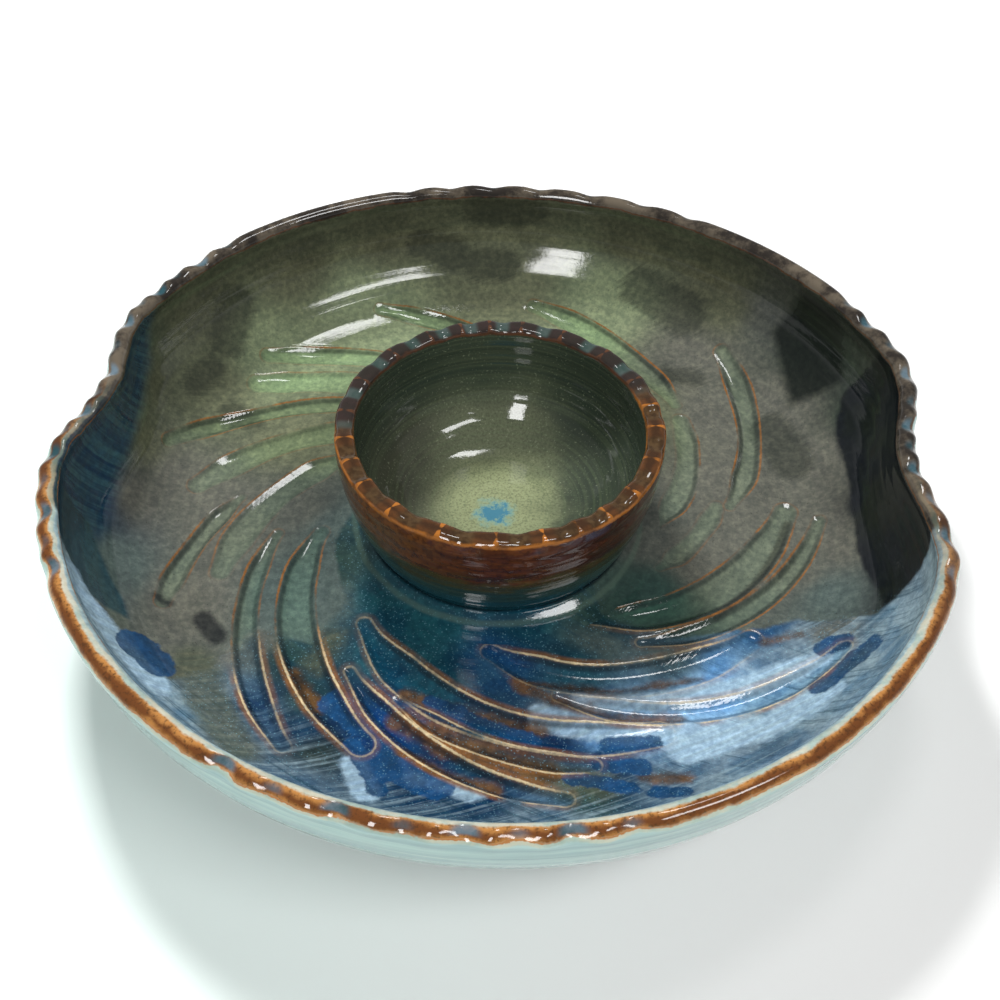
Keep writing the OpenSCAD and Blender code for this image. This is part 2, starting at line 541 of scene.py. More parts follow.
# the same over the front of the bowl, which was dipped a second time
FRONT_TONES: Places = {
    Tone.PINE: ((-60, -30), (35, -45), (-68, -70), (-60, -85), (30, -118)),
    Tone.TEAL: ((-40, -40), (-20, -50), (10, -50), (30, -68), (-35, -65), (-20, -75), (0, -105)),
    Tone.FOG: ((60, -62), (-60, -42), (35, -60)),
    Tone.COBALT: ((0, -68), (94, -50)),
    Tone.SMOKE: ((-85, -65), (-100, -70), (115, -55)),
    Tone.NAVY: ((-46, -90), (-60, -98), (-75, -90), (-20, -110), (0, -120), (20, -100), (40, -108)),
    Tone.HAZE: ((-120, -90), (-150, -75), (-100, -100), (90, -85), (100, -92), (115, -70), (130, -90),
        (145, -70), (110, -120), (80, -125)),
    Tone.SLATE: ((-90, -85), (-80, -100), (-60, -122), (15, -128), (60, -110), (90, -105), (160, -60),
        (104, -58), (-140, -110)),
    Tone.FOREST: ((-55, -105),),
    Tone.ROYAL: ((-35, -95),),
    Tone.SKY: ((52, -92), (40, -93), (75, -78)),
}
DIPPED = [
    (-185, -45), (-158, -58), (-138, -70), (-120, -80), (-106, -86), (-94, -76), (-84, -58),
    (-62, -62), (-52, -45), (-60, -15), (-52, 0), (-30, 5), (30, -25), (38, -46), (60, -54),
    (86, -52), (106, -46),
    (132, -52), (185, -50), (185, -185), (-185, -185),
]
ROYALS = (
    Daub(((-120, -76), (-113, -80)), 7.5), Daub(((112, -62), (119, -60)), 3.5),
    Daub(((108, -80), (118, -73), (129, -68)), 4), Daub(((38, -99), (53, -98)), 3.2),
    Daub(((34, -106), (48, -108)), 3.5), Daub(((26, -112), (44, -116)), 3),
    Daub(((-36, -108), (-16, -118)), 5), Daub(((-44, -102), (-34, -120)), 3),
    Daub(((-20, -84), (-2, -93), (14, -98)), 3), 
    Daub(((-52, -86), (-40, -95)), 5), Daub(((52, -119), (60, -121)), 3),
)
SKIES = (
    Daub(((16, -89), (40, -94), (58, -94)), 4.5), Daub(((30, -83), (60, -81), (90, -73), (112, -65)), 3.6),
    Daub(((-43, -110), (-38, -122)), 4.5), Daub(((-24, -114), (-4, -119)), 3),
    Daub(((62, -100), (90, -94), (110, -84)), 6), Daub(((-150, -66), (-130, -78), (-110, -92)), 6),
)
BARKS = (
    Daub(((10, -78), (22, -84), (40, -88), (62, -88)), 2.4), Daub(((-28, -82), (-8, -89), (16, -94)), 2.6),
    Daub(((-30, -92), (-14, -100), (4, -106), (18, -110)), 4.5),
    Daub(((-28, -106), (-14, -112), (2, -117)), 2.6),
    Daub(((94, -56), (106, -53)), 1.8), Daub(((8, -76), (40, -78), (70, -72)), 1.4),
    Daub(((-66, -76), (-56, -88)), 2.5), Daub(((48, -112), (62, -114)), 2.5),
)
def stroke(start_r: float, start: float, end_r: float, end: float, half: float) -> Daub:
    """A daub that sweeps between two angles while its radius changes evenly."""
    shares = (0, 0.25, 0.5, 0.75, 1)
    path = tuple(polar(start_r + (end_r - start_r) * t, start + (end - start) * t) for t in shares)
    return Daub(path, half)


DUSKS = (
    stroke(155, 140, 145, 145, 9), stroke(140, 150, 140, 155, 7), stroke(120, 155, 110, 155, 5),
    stroke(150, 100, 155, 105, 8), stroke(145, 90, 145, 95, 7), stroke(170, 85, 170, 95, 7),
    stroke(140, 55, 145, 65, 10), stroke(120, 15, 120, 25, 8), stroke(115, 45, 110, 50, 5),
)
# outlines of painted shade over the dark glaze of the handholds' walls and of the back-right wall beside the
# right one; the right wall's darkest part is also a painted dark reflection
RIGHT_WALL_SHADE = [(136, -52), (134, -20), (137, 10), (134, 40), (140, 56), (185, 62), (185, -52)]
RIGHT_SHADE = [(118, 60), (117, 96), (138, 106), (152, 86), (142, 60)]
LEFT_WALL_SHADE = [(-147, -60), (-144, -20), (-150, 20), (-150, 55), (-162, 78), (-185, 70), (-185, -45)]
LEFT_DEEP_SHADE = [(-185, -28), (-150, -30), (-128, -56), (-124, -64), (-140, -66), (-158, -58), (-185, -45)]
LINES = (stroke(90, -30, 110, 0, 1.6),)
KHAKIS = (
    Daub(((-100, -75), (-90, -95), (-80, -110)), 8), Daub(((15, -110), (35, -115)), 6),
    Daub(((-60, -70), (-55, -60)), 4),
)
SPOTS = (Daub(((-101, -54), (-95, -61)), 3.6), Daub(((-118, -47), (-114, -49)), 1.8))


def closeness(points: Array, daubs: tuple[Daub, ...]) -> Array:
    """Signed distance from each point to the nearest of some daubs, negative on one."""
    out = np.full(len(points), 99.0)
    for daub in daubs:
        away, _ = reach(points, np.array(daub.path, float))
        out = np.minimum(out, away - daub.half)
    return out


def blend_tones(points: Array, tones: Places) -> Array:
    """The colour at each point, weighted from the tones at places around it."""
    total = np.zeros((len(points), 3))
    weight = np.zeros(len(points))
    for tone, places in tones.items():
        for u, v in places:
            w = 1 / (30 + (points[:, 0] - u) ** 2 + (points[:, 1] - v) ** 2) ** 2
            total += w[:, None] * np.array(tone.value)
            weight += w
    return total / weight[:, None]


class InsideGlaze:
    """The layered glaze of the wide bowl's inside, which the collar in its middle shares."""

    @staticmethod
    def map(piece: bpy.types.Object, plane: Array, travel: Array) -> None:
        """Store on a piece where each layer of glaze lies.

        Args:
            piece: The piece.
            plane: Each vertex's place on the unrolled inner surface.
            travel: Each vertex's distance along the cross-section.
        """
        keep(piece, "travel", travel)
        keep(piece, "lay", np.stack([plane[:, 0], plane[:, 1], travel * 0], -1))
        outlines = {
            "dipped": DIPPED, "right_wall_shade": RIGHT_WALL_SHADE, "right_shade": RIGHT_SHADE,
            "left_wall_shade": LEFT_WALL_SHADE, "left_deep_shade": LEFT_DEEP_SHADE,
        }
        for name, outline in outlines.items():
            keep(piece, name, within(plane, outline))
        daubs = {
            "royal": ROYALS, "sky": SKIES, "bark": BARKS, "dusk": DUSKS, "spot": SPOTS, "dark_line": LINES,
            "khaki": KHAKIS,
        }
        for name, strokes in daubs.items():
            keep(piece, name, closeness(plane, strokes))
        keep(piece, "back_tone", blend_tones(plane, BACK_TONES))
        keep(piece, "front_tone", blend_tones(plane, FRONT_TONES))

    def mix(self, g: Graph, travel: object, grain: object, cloud: object) -> tuple[object, object]:
        """Mix the glaze's colour and its relief.

        Args:
            g: The graph to build in.
            travel: How far along the cross-section the surface lies.
            grain: A fine noise.
            cloud: A coarse noise.

        Returns:
            The colour and the relief's height.
        """
        lay = g.read("lay").outputs["Vector"]
        coarse = g.noise(g.place, 22, 4)
        streak = g.noise(g.mapped(lay, (60, 2.2, 1), 24), 1.0, 4, 0.65)
        cross = g.noise(g.mapped(lay, (60, 2.2, 1), -32), 1.0, 4, 0.65)
        dipped = g.value("dipped")
        away = g.sway(cloud, 9.0)
        base = self.back(g, travel, cloud, coarse, streak, away)
        front = self.front(g, travel, cloud, streak, cross)
        base = g.over(base, front, g.plus(dipped, away), 1.2, -1.2)
        base = self.swiped(g, base, dipped, grain)
        base = self.daubed(g, base, cloud, streak, grain)
        base = self.edged(g, base, dipped, grain)
        base = self.speckled(g, base, dipped, grain)
        lip = self.near_edge(g, 0.25, 1.3, 0.0)
        brushed = g.noise(g.times(travel, 0.8), 1.0, 3)
        height = g.plus(g.times(cloud, 0.5), g.times(grain, 0.08))
        height = g.plus(height, g.times(lip, 0.6))
        height = g.plus(height, g.times(brushed, 0.12))
        return base, height

    def near_edge(self, g: Graph, beyond: float, far: float, near: float, shake: object = 0.0) -> object:
        """How near a spot is to a swipe's edge, or to a line a little beyond it, in any group."""
        most = None
        for group in range(GROUPS):
            off = g.plus(g.math("SUBTRACT", g.value(f"swipe_{group}"), beyond), shake)
            here = g.times(g.span(g.math("ABSOLUTE", off), far, near), g.value(f"line_{group}"))
            most = here if most is None else g.math("MAXIMUM", most, here)
        return most

    def back(
        self, g: Graph, travel: object, cloud: object, coarse: object, streak: object, away: object
    ) -> Socket:
        """The green and grey-brown back, with soft dark daubs, and painted shade darkening the dark glaze of
        the handholds' walls, with a painted dark reflection on the right one.
        """
        base = g.tint("back_tone")
        ring = g.noise(g.times(travel, 0.25), 1.0, 3)
        base = g.over(base, g.scaled(base, (0.5, 0.53, 0.55)), cloud, 0.35, 0.7, 0.45)
        base = g.over(base, g.scaled(base, (1.5, 1.55, 1.4)), ring, 0.4, 0.7, 0.25)
        brushy = g.sway(streak, 9.0)
        soft = g.sway(coarse, 9.0)
        dusk = g.plus(g.plus(g.value("dusk"), brushy), soft)
        base = g.over(base, (0.022, 0.026, 0.02, 1), dusk, 2.5, -3.0, 0.6)
        rim_dark = g.span(g.plus(travel, away), 152, 172, 0.5)
        base = g.mix(rim_dark, base, (0.028, 0.03, 0.02, 1))
        wall_shade_dark = g.over(Tone.NIGHT, (0.008, 0.011, 0.009, 1), cloud, 0.4, 0.7)
        wall_shade_blue = g.over(Tone.NAVY, (0.03, 0.09, 0.12, 1), streak, 0.4, 0.65)
        # painted shade: each outline darkens its wall, softly at the edge
        layers = (
            ("right_shade", 3, 0.95, (0.008, 0.011, 0.009, 1)), ("right_wall_shade", 1.4, 0.96, wall_shade_dark),
            ("left_wall_shade", 5, 0.88, wall_shade_blue), ("left_deep_shade", 1.2, 0.85, (0.012, 0.04, 0.055, 1)),
        )
        for name, soft_edge, strength, tone in layers:
            off = g.plus(g.value(name), g.times(away, 0.6))
            base = g.over(base, tone, off, soft_edge, -soft_edge, strength)
        return base

    def front(
        self, g: Graph, travel: object, cloud: object, streak: object, cross: object
    ) -> Socket:
        """The blue front, brushed in streaks up its wall, and paled just under the rim by a painted
        reflection of the bright room.
        """
        base = g.tint("front_tone")
        deeper = g.scaled(base, (0.3, 0.5, 0.7))
        base = g.over(base, deeper, cloud, 0.4, 0.62, 0.78)
        wall = g.span(travel, 104, 128)
        base = g.mix(g.times(g.span(streak, 0.45, 0.68, 0.6), wall), base, Tone.HAZE)
        dark = g.times(g.span(cross, 0.5, 0.66, 0.6), g.math("MAXIMUM", wall, 0.55))
        base = g.mix(dark, base, (0.01, 0.04, 0.065, 1))
        # painted reflection: the upper wall, seen at a grazing angle, is paled toward the bright room it
        # mirrors
        pale = g.plus(travel, g.sway(cloud, 8.0))
        return g.over(base, (0.3, 0.4, 0.42, 1), pale, 158, 174, 0.8)

    def swiped(self, g: Graph, base: object, dipped: object, grain: object) -> Socket:
        """Where the glaze pools in the swipes it is lighter, and at the front bluer."""
        off = g.math("MINIMUM", g.math("MINIMUM", g.value("swipe_0"), g.value("swipe_1")), g.value("swipe_2"))
        off = g.plus(off, g.sway(grain, 0.8))
        green = g.scaled(base, (1.15, 1.4, 1.2))
        blue = g.scaled(base, (0.6, 0.85, 1.05))
        pooled = g.over(green, blue, dipped, 4, -4)
        return g.over(base, pooled, off, 0.3, -1.6, 0.75)

    def daubed(
        self, g: Graph, base: object, cloud: object, streak: object, grain: object
    ) -> Socket:
        """The brushed daubs, one kind of glaze over another."""
        wobble = g.sway(g.noise(g.place, 110, 5, 0.65), 7.0)
        brown = g.over(Tone.BARK, (0.14, 0.068, 0.02, 1), g.noise(g.place, 120, 3), 0.4, 0.66)
        fine = g.sway(grain, 1.6)
        layers = (
            ("khaki", 0.75, 4.0, g.mix(g.span(streak, 0.4, 0.66), (0.06, 0.075, 0.05, 1), Tone.OLIVE)),
            ("sky", 0.85, 1.4, g.mix(g.span(streak, 0.35, 0.7), (0.26, 0.37, 0.44, 1), Tone.SKY)),
            ("bark", 0.8, 1.8, brown),
            ("royal", 0.9, 0.6, g.mix(g.span(cloud, 0.3, 0.7), Tone.NAVY, Tone.ROYAL)),
            ("spot", 0.8, 1.6, Tone.NIGHT),
            ("dark_line", 0.6, 1.0, (0.02, 0.02, 0.015, 1)),
        )
        for name, strength, soft, tone in layers:
            off = g.plus(g.value(name), fine if name in ("dark_line", "spot") else wobble)
            base = g.over(base, tone, off, soft, -soft, strength)
        return base

    def edged(self, g: Graph, base: object, dipped: object, grain: object) -> Socket:
        """Glaze breaks thin and warm along the swipes' edges; a dark line of painted shade runs just inside
        them.
        """
        shake = g.sway(grain, 0.7)
        # painted shade just inside each swipe's edge, where its wall drops away
        groove_shade = self.near_edge(g, -1.3, 1.5, 0.2)
        base = g.mix(g.times(groove_shade, 0.6), base, Tone.NIGHT)
        patchy = g.span(g.noise(g.place, 60, 3), 0.3, 0.55)
        bleed = g.times(self.near_edge(g, 0.9, 2.0, 0.2), patchy)
        front = g.span(dipped, 2, -12, 0.65)
        base = g.mix(g.times(bleed, front), base, Tone.RUST)
        edge = g.times(self.near_edge(g, 0.2, 0.62, 0.12, shake), patchy)
        warm = g.over(g.mix(patchy, Tone.BARK, Tone.RUST), Tone.CREAM, dipped, 6, -14)
        return g.mix(g.times(edge, 0.85), base, warm)

    def speckled(self, g: Graph, base: object, dipped: object, grain: object) -> Socket:
        """Fine crystals in the blue, dark iron specks in the green, and a mottle over both."""
        cells = g.nodes.new("ShaderNodeTexVoronoi")
        g.put(cells.inputs["Vector"], g.place)
        cells.inputs["Scale"].default_value = 1100
        dots = g.span(cells.outputs["Distance"], 0.36, 0.14)
        crystals = g.times(dots, g.span(grain, 0.42, 0.6))
        blue = g.times(crystals, g.span(dipped, 6, -6, 0.45))
        base = g.mix(blue, base, (0.16, 0.34, 0.42, 1))
        specks = g.times(dots, g.span(grain, 0.5, 0.34))
        iron = g.times(specks, g.span(dipped, -6, 6, 0.6))
        base = g.mix(iron, base, (0.02, 0.02, 0.015, 1))
        mottle = g.noise(g.place, 420, 4, 0.65)
        darker = g.scaled(base, (0.5, 0.55, 0.6))
        lighter = g.scaled(base, (1.7, 1.65, 1.55))
        base = g.over(base, darker, mottle, 0.42, 0.68, 0.55)
        return g.over(base, lighter, mottle, 0.5, 0.3, 0.4)


@dataclass
class ChipBowl:
    """The wide bowl: thrown, pushed in at two handholds, carved, pressed and dipped."""

    floor: float = 13.0
    under: float = 7.0
    turn: float = 110.0
    inside: float = 42.0
    outside: float = 48.0
    bead: float = 3.75
    steps: int = 560
    holds: tuple[Hold, ...] = (Hold(357, 13.5, 21), Hold(173, 10.0, 17))

    def section(self, rim_r: float, rim_z: float) -> list[tuple[float, float]]:
        """The cross-section from the middle of the floor over the rim to the underside."""
        centre = self.under + self.outside
        out = [(0.0, self.floor), (26.0, self.floor), (44.0, self.floor)]
        out += [(s, self.floor) for s in np.arange(54, self.turn, 1.05)]
        for arc in [*np.arange(0, 28, 1.1), *np.arange(28, 62, 2.0)]:
            a = arc / self.inside
            out.append((self.turn + self.inside * math.sin(a), centre - self.inside * math.cos(a)))
        mid_r, mid_z = rim_r - self.bead, rim_z - self.bead
        for a in np.radians(np.linspace(206, -26, 17)):
            out.append((mid_r + self.bead * math.cos(a), mid_z + self.bead * math.sin(a)))
        for a in np.radians(np.linspace(84, 0, 26)):
            out.append((self.turn + self.outside * math.sin(a), centre - self.outside * math.cos(a)))
        return [*out, (100.0, self.under), (70.0, self.under), (30.0, self.under), (0.0, self.under)]

    def presses(self, angle: Array) -> Array:
        """How deep the rim is pressed at each angle, as a share of a full press."""
        groups = ((138, 206, 16, 0.9), (243, 285, 8, 1.0), (338, 389, 11, 0.9), (61, 107, 7, 0.55))
        out = np.zeros(len(angle))
        for first, last, count, share in groups:
            for i in range(count):
                at = first + (last - first) * i / (count - 1) + 0.9 * math.sin(7.3 * i + first)
                deep = share * (0.85 + 0.25 * math.sin(3.1 * i + last))
                out = np.maximum(out, deep * np.exp(-((turned(angle, at) / 1.75) ** 2)))
        return out

    def carve(self, plane: Array, travel: Array) -> tuple[Array, Array, Array]:
        """Swipe the floor.

        Args:
            plane: Each vertex's place on the unrolled inner surface.
            travel: Each vertex's distance along the cross-section.

        Returns:
            How deep each vertex is carved, and for each group of swipes that don't cross, its signed
            distance to them, negative in one, and how strongly the glaze breaks at that edge.
        """
        depth = np.zeros(len(plane))
        offs = np.full((GROUPS, len(plane)), 99.0)
        gains = np.zeros((GROUPS, len(plane)))
        for n, swipe in enumerate(SWIPES):
            away, place = reach(plane, swipe.path())
            taper = (0.45 + 0.55 * smooth(place, 0, 0.25)) * (1 - 0.3 * smooth(place, 0.8, 1))
            half = swipe.width / 2 * taper * (1 + 0.08 * np.sin(9 * place + n))
            off = away - half
            lift = (0.35 + 0.65 * smooth(place, 0, 0.2)) * (1 - 0.6 * smooth(place, 0.75, 1.0))
            depth = np.maximum(depth, swipe.depth * lift * smooth(-off, -0.7, half * 0.7))
            centre = swipe.start[0] + (swipe.end[0] - swipe.start[0]) * place
            outward = smooth(travel - centre, -1.5, 1.5)
            gain = swipe.inner_line + (swipe.outer_line - swipe.inner_line) * outward
            gain = gain * (0.25 + 0.75 * smooth(place, 0, 0.2)) * (1 - 0.6 * smooth(place, 0.85, 1.0))
            group = n % GROUPS
            gains[group] = np.where(off < offs[group], gain, gains[group])
            offs[group] = np.minimum(offs[group], off)
        return depth, offs, gains

    def build(self) -> bpy.types.Object:
        """Model the bowl inside its node's box and store what its glaze needs."""
        low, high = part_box("chip_bowl")
        rim_r = (high[1] - low[1]) / MM / 2
        rim_z = high[2] / MM
        outline = self.section(rim_r, rim_z)
        piece = throw("wide_bowl", outline, self.steps)
        points = points_of(piece)
        travel = along_outline(points, outline)
        angle = np.degrees(np.arctan2(points[:, 1], points[:, 0]))
        radius = np.hypot(points[:, 0], points[:, 1])
        height = points[:, 2]
        top = self.turn + 61.0
        rim_end = top + 20.0
        inner = travel < top + 4
        plane = polar(travel, angle)
        depth, offs, gains = self.carve(plane, travel)
        depth = np.where(inner, depth, 0)
        # the carving is cut square to the surface: down on the floor, outward on the wall
        slope = np.clip((travel - self.turn) / self.inside, 0, math.pi / 2)
        radius = radius + depth * np.sin(slope) * inner
        height = height - depth * np.cos(slope) * inner
        rise = smooth(points[:, 2], self.under, rim_z - 4)
        push = sum(h.push(angle) for h in self.holds)
        radius = radius - push * rise
        sway = 1.2 * np.cos(np.radians(angle + 27)) - 0.9 * np.exp(-((turned(angle, 84) / 26) ** 2))
        radius = radius + sway * rise
        press = self.presses(angle)
        mid = top + 10.5
        outer_side = np.exp(-(((travel - mid - 2.6) / 4.2) ** 2))
        radius = radius - 2.2 * press * outer_side
        height = height - 1.9 * press * np.exp(-(((travel - mid - 0.8) / 4.0) ** 2))
        ripple = 0.12 * np.sin(travel * 0.9 + 0.4 * np.sin(np.radians(angle))) * smooth(travel, 118, 130)
        radius = radius + ripple * (travel < top) - 1.5 * ripple * (travel > rim_end) * smooth(height, 8, 14)
        height = height + 0.35 * np.sin(np.radians(3 * angle + 40)) * rise
        shape_to(piece, np.stack([*(polar(radius, angle).T), height], -1))
        for group in range(GROUPS):
            keep(piece, f"swipe_{group}", offs[group])
            keep(piece, f"line_{group}", gains[group])
        keep(piece, "press", press * outer_side)
        InsideGlaze.map(piece, plane, travel)
        front = np.cos(np.radians(turned(angle, 262)) * 0.5) ** 2
        keep(piece, "warm", smooth(front, 0.45, 0.75))
        return piece

    def dress(self, piece: bpy.types.Object) -> None:
        """Give the bowl its layered glaze."""
        g = Graph("bowl_glaze")
        travel = g.value("travel")
        grain = g.noise(g.place, 900, 3)
        cloud = g.noise(g.place, 60, 5)
        base, height = InsideGlaze().mix(g, travel, grain, cloud)
        rim = PressedRim(start=176.5, end=186.5, warm_start=181.3, line=0.4)
        bands = g.noise(g.mapped(g.place, (1, 1, 0.03)), 12, 4)
        outer = g.over(Tone.MINT, (0.3, 0.42, 0.42, 1), bands, 0.35, 0.65)
        rings = g.noise(g.times(travel, 0.9), 1.0, 2)
        outer = g.over(outer, (0.22, 0.32, 0.33, 1), rings, 0.5, 0.7, 0.25)
        base = g.over(base, outer, travel, 180, 184)
        base = rim.over(g, base, travel, grain, 0.0)
        bare = g.over(Tone.CLAY, (0.3, 0.19, 0.11, 1), grain, 0.3, 0.7)
        shaken_foot = g.plus(travel, g.times(cloud, 3.0))
        on_bare = g.span(shaken_foot, 264, 265)
        base = g.mix(on_bare, base, bare)
        rough = g.mix(on_bare, g.glazed_rough(cloud), (0.8, 0.8, 0.8, 1))
        piece.data.materials.append(g.finish(base, rough, g.bump(height, 0.35, 0.0006), 0.5))


# ---------------------------------------------------------------- the dip bowl and its collar


@dataclass
class DipBowl:
    """The small bowl in the middle: thrown thin, pressed round its flat rim."""

    floor: float = 13.0
    depth_to: float = 18.0
    base: float = 47.0
    lip: float = 7.0
    curve: float = 30.0
    marks: int = 23
    steps: int = 360

    def section(self, rim_r: float, rim_z: float) -> list[tuple[float, float]]:
        """The cross-section from the inside's middle over the rim to the base."""
        inner = rim_r - self.lip
        flat = inner - self.curve
        out = [(r, self.depth_to) for r in np.linspace(0, flat, 12)]
        for a in np.radians(np.linspace(4, 90, 34)):
            out.append((flat + self.curve * math.sin(a), self.depth_to + self.curve * (1 - math.cos(a))))
        out += [(inner, z) for z in np.arange(self.depth_to + self.curve + 1.3, rim_z - 2.0, 1.3)]
        out += [(inner + 0.1, rim_z - 1.2), (inner + 0.45, rim_z - 0.45), (inner + 1.1, rim_z - 0.1)]
        out += [(r, rim_z) for r in np.arange(inner + 1.8, rim_r - 2.0, 0.7)]
        side_z = rim_z - self.lip / 2
        for a in np.radians(np.linspace(66, 0, 8)):
            out.append((rim_r - 2.4 + 2.4 * math.cos(a), rim_z - 2.4 + 2.4 * math.sin(a)))
        rise, run = side_z - self.floor, rim_r - self.base
        side = (rise * rise + run * run) / (2 * run)
        for z in np.linspace(side_z - 1.0, self.floor, 34):
            out.append((rim_r - side + math.sqrt(side * side - (side_z - z) ** 2), z))
        return [*out, (30.0, self.floor), (0.0, self.floor)]

    def build(self) -> bpy.types.Object:
        """Model the bowl inside its node's box and store what its glaze needs."""
        low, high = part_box("dip_bowl")
        rim_r, rim_z = (high[0] - low[0]) / MM / 2, high[2] / MM
        outline = self.section(rim_r, rim_z)
        piece = throw("dip_bowl_thrown", outline, self.steps)
        points = points_of(piece)
        travel = along_outline(points, outline)
        angle = np.degrees(np.arctan2(points[:, 1], points[:, 0]))
        radius = np.hypot(points[:, 0], points[:, 1])
        height = points[:, 2]
        ridge = np.zeros(len(points))
        pool = np.zeros(len(points))
        for i in range(self.marks):
            at = 360 * (i + 0.28 * math.sin(5.3 * i)) / self.marks
            ridge = np.maximum(ridge, np.exp(-((turned(angle, at) / 1.3) ** 2)))
            pool = np.maximum(pool, np.exp(-((turned(angle, at + 180 / self.marks) / 3.4) ** 2)))
        near_top = smooth(height, rim_z - 5, rim_z - 0.6)
        across = np.clip((radius - (rim_r - self.lip)) / self.lip, 0, 1)
        dip = 0.3 + 0.75 * pool
        height = height - dip * (1 - ridge) * near_top - 0.5 * near_top * (1 - across)
        radius = radius + near_top * np.where(across > 0.5, -0.4 * pool, 0.25 * pool)
        rings = 0.1 * np.sin(travel * 1.1) * smooth(travel, 8, 20) * (1 - near_top)
        radius = radius + rings
        shape_to(piece, np.stack([*(polar(radius, angle).T), height], -1))
        keep(piece, "travel", travel)
        back = 1 - smooth(np.cos(np.radians(turned(angle, 283)) * 0.5) ** 2, 0.38, 0.5)
        keep(piece, "press", pool * near_top * back)
        keep(piece, "ridge", ridge * near_top)
        keep(piece, "patch", smooth(pool, 0.1, 0.5) * near_top)
        front = np.cos(np.radians(turned(angle, 283)) * 0.5) ** 2
        keep(piece, "warm", smooth(front, 0.38, 0.5))
        return piece

    def dress(self, piece: bpy.types.Object) -> None:
        """Give the small bowl its green inside, rust outside and broken rim."""
        g = Graph("dip_glaze")
        travel = g.value("travel")
        grain = g.noise(g.place, 900, 3)
        cloud = g.noise(g.place, 70, 5)
        fine = g.noise(g.place, 420, 3)
        shaken = g.plus(travel, g.sway(cloud, 16.0))
        split = g.nodes.new("ShaderNodeSeparateXYZ")
        g.put(split.inputs[0], g.place)
        drift = g.sway(cloud, 0.03)
        right = g.plus(split.outputs[0], drift)
        inside = g.over((0.24, 0.27, 0.145, 1), (0.115, 0.13, 0.078, 1), shaken, 14, 34)
        left = g.times(right, -1.0)
        inside = g.over(inside, (0.045, 0.045, 0.034, 1), left, 0.014, 0.036, 0.8)
        inside = g.over(inside, (0.024, 0.036, 0.028, 1), right, 0.006, 0.032, 0.85)
        inside = g.over(inside, (0.02, 0.032, 0.024, 1), shaken, 42, 66)
        ring = g.noise(g.times(travel, 0.35), 1.0, 2)
        inside = g.over(inside, (0.1, 0.13, 0.07, 1), ring, 0.45, 0.65, 0.3)
        speck = g.noise(g.place, 1100, 3, 0.7)
        inside = g.over(inside, (0.04, 0.046, 0.032, 1), speck, 0.46, 0.66, 0.45)
        inside = g.over(inside, (0.3, 0.34, 0.22, 1), speck, 0.4, 0.28, 0.5)
        spot = g.nodes.new("ShaderNodeVectorMath")
        spot.operation = "DISTANCE"
        g.put(spot.inputs[0], g.place)
        spot.inputs[1].default_value = (-0.001, -0.004, 0.018)
        ragged = g.sway(g.noise(g.place, 260, 4, 0.7), 0.016)
        far = g.plus(spot.outputs["Value"], ragged)
        inside = g.over(inside, (0.16, 0.3, 0.26, 1), far, 0.009, 0.004, 0.7)
        inside = g.over(inside, (0.03, 0.15, 0.24, 1), far, 0.0055, 0.003, 0.85)
        # the outside runs from rust under the rim through olive to teal at the foot
        wavy = g.sway(g.noise(g.mapped(g.place, (1, 1, 0.25)), 90, 4), 22.0)
        side = g.plus(travel, wavy)
        flow = g.noise(g.mapped(g.place, (1, 1, 0.14)), 34, 5, 0.6)
        rust = g.over((0.05, 0.015, 0.009, 1), (0.14, 0.04, 0.011, 1), flow, 0.36, 0.68)
        rust = g.over(rust, (0.16, 0.058, 0.011, 1), left, 0.0, 0.03, 0.6)
        rust = g.over(rust, (0.035, 0.012, 0.01, 1), right, 0.008, 0.035, 0.6)
        rust = g.over(rust, (0.03, 0.01, 0.006, 1), fine, 0.46, 0.64, 0.55)
        outer = g.over(rust, (0.06, 0.05, 0.014, 1), side, 103, 112)
        outer = g.over(outer, Tone.PINE, side, 110, 119)
        outer = g.over(outer, Tone.TEAL, side, 119, 129)
        colour = g.over(inside, outer, travel, 83, 86)
        rim = PressedRim(
            start=79.0, end=88.5, warm_start=79.0, line=1.4, pool=Tone.PINE, pool_light=Tone.FOG,
            warm_dark=(0.04, 0.018, 0.008), warm_light=(0.085, 0.034, 0.012),
            cold=(0.03, 0.02, 0.018), fringe=0.0,
        )
        colour = rim.over(g, colour, travel, grain, g.span(g.value("ridge"), 0.45, 1.0))
        brown = g.over((0.035, 0.02, 0.009, 1), (0.075, 0.045, 0.02, 1), fine, 0.35, 0.65)
        on_patch = g.times(g.value("patch"), rim.band(g, travel, 80.4, 87.0))
        on_patch = g.times(on_patch, g.value("warm"))
        colour = g.mix(g.times(on_patch, 0.85), colour, brown)
        height = g.plus(g.times(cloud, 0.5), g.times(grain, 0.08))
        rough = g.glazed_rough(cloud)
        piece.data.materials.append(g.finish(colour, rough, g.bump(height, 0.35, 0.0005), 0.5))


